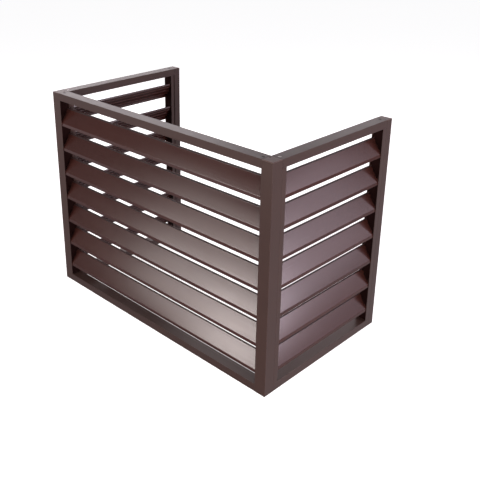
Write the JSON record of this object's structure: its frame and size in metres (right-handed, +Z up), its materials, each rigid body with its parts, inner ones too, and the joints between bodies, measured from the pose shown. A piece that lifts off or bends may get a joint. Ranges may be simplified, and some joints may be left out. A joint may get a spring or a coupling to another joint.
{
  "type": "air conditioner screen",
  "caption": "Louvred U-shaped cover for an outdoor air conditioner unit: brown coated frame with slanted fixed blades on three sides, open at the top, bottom and back.",
  "frame": {"origin": "on the ground, in the middle of the U's footprint", "axes": "+Z up; X along the long front panel; +Y from the front panel towards the open back and the wall"},
  "size_m": [0.96, 0.54, 0.7],
  "materials": {
    "frame_coating": "satin",
    "blade_coating": "satin",
    "clip_plastic": "matte",
    "cap_plastic": "satin",
    "screw_steel": "satin"
  },
  "bodies": {
    "root": {"front_top_rail": "frame_coating", "front_bottom_rail": "frame_coating", "front_blade_1": "blade_coating", "front_blade_2": "blade_coating", "front_blade_3": "blade_coating", "front_blade_4": "blade_coating", "front_blade_5": "blade_coating", "front_blade_6": "blade_coating", "front_blade_7": "blade_coating", "front_clip_strip_left": "clip_plastic", "front_top_screw_left": "screw_steel", "front_bottom_screw_left": "screw_steel", "front_clip_strip_right": "clip_plastic", "front_top_screw_right": "screw_steel", "front_bottom_screw_right": "screw_steel", "right_top_rail": "frame_coating", "right_bottom_rail": "frame_coating", "right_blade_1": "blade_coating", "right_blade_2": "blade_coating", "right_blade_3": "blade_coating", "right_blade_4": "blade_coating", "right_blade_5": "blade_coating", "right_blade_6": "blade_coating", "right_blade_7": "blade_coating", "right_clip_strip_front": "clip_plastic", "right_top_screw_front": "screw_steel", "right_bottom_screw_front": "screw_steel", "right_clip_strip_rear": "clip_plastic", "right_top_screw_rear": "screw_steel", "right_bottom_screw_rear": "screw_steel", "right_front_channel": "frame_coating", "right_rear_channel": "frame_coating", "left_top_rail": "frame_coating", "left_bottom_rail": "frame_coating", "left_blade_1": "blade_coating", "left_blade_2": "blade_coating", "left_blade_3": "blade_coating", "left_blade_4": "blade_coating", "left_blade_5": "blade_coating", "left_blade_6": "blade_coating", "left_blade_7": "blade_coating", "left_clip_strip_front": "clip_plastic", "left_top_screw_front": "screw_steel", "left_bottom_screw_front": "screw_steel", "left_clip_strip_rear": "clip_plastic", "left_top_screw_rear": "screw_steel", "left_bottom_screw_rear": "screw_steel", "left_front_channel": "frame_coating", "left_rear_channel": "frame_coating", "right_corner_post": "frame_coating", "right_corner_cap": "cap_plastic", "right_rear_post": "frame_coating", "right_rear_cap": "cap_plastic", "left_corner_post": "frame_coating", "left_corner_cap": "cap_plastic", "left_rear_post": "frame_coating", "left_rear_cap": "cap_plastic"}
  },
  "joints": []
}
